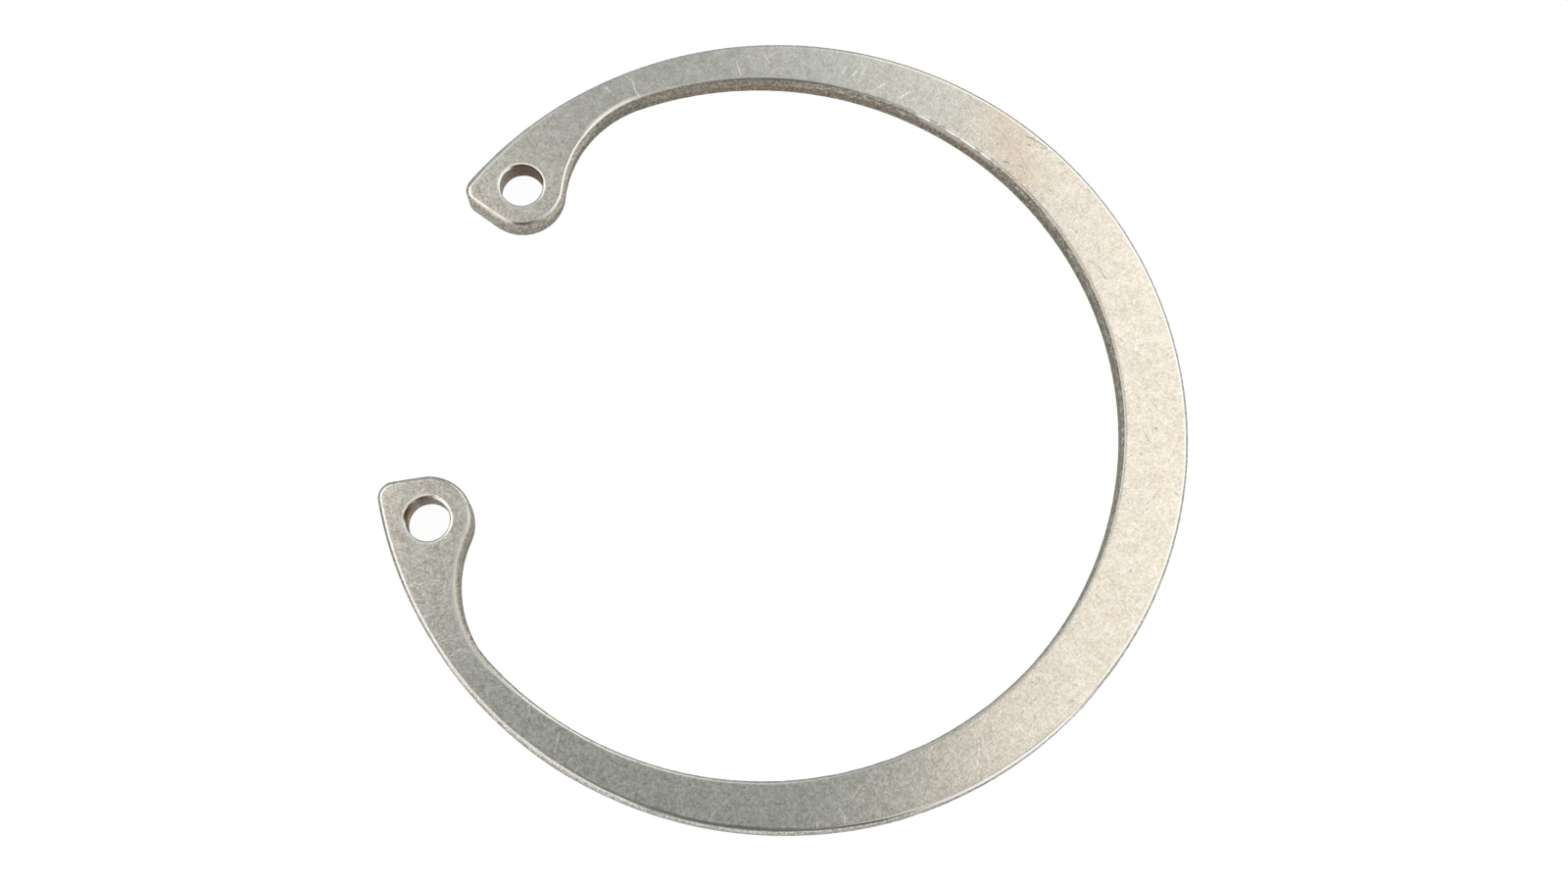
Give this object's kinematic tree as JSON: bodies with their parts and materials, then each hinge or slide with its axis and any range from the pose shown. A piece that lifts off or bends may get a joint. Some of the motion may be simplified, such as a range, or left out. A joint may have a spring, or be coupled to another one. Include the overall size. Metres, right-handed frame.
{
  "type": "internal retaining ring",
  "caption": "Flat open snap ring for the inside of a bore, with a tapered band and a lug with a plier hole at each end.",
  "frame": {"origin": "axis of the outer edge, at half the thickness", "axes": "+Z along the axis of the outer edge, through the thickness; -X through the middle of the gap; +Y towards one lug"},
  "size_m": [0.0517, 0.0542, 0.002],
  "materials": {
    "spring_steel": "tumbled, matte, with darker punched walls"
  },
  "bodies": {
    "root": {"snap_ring": "spring_steel"}
  },
  "joints": []
}
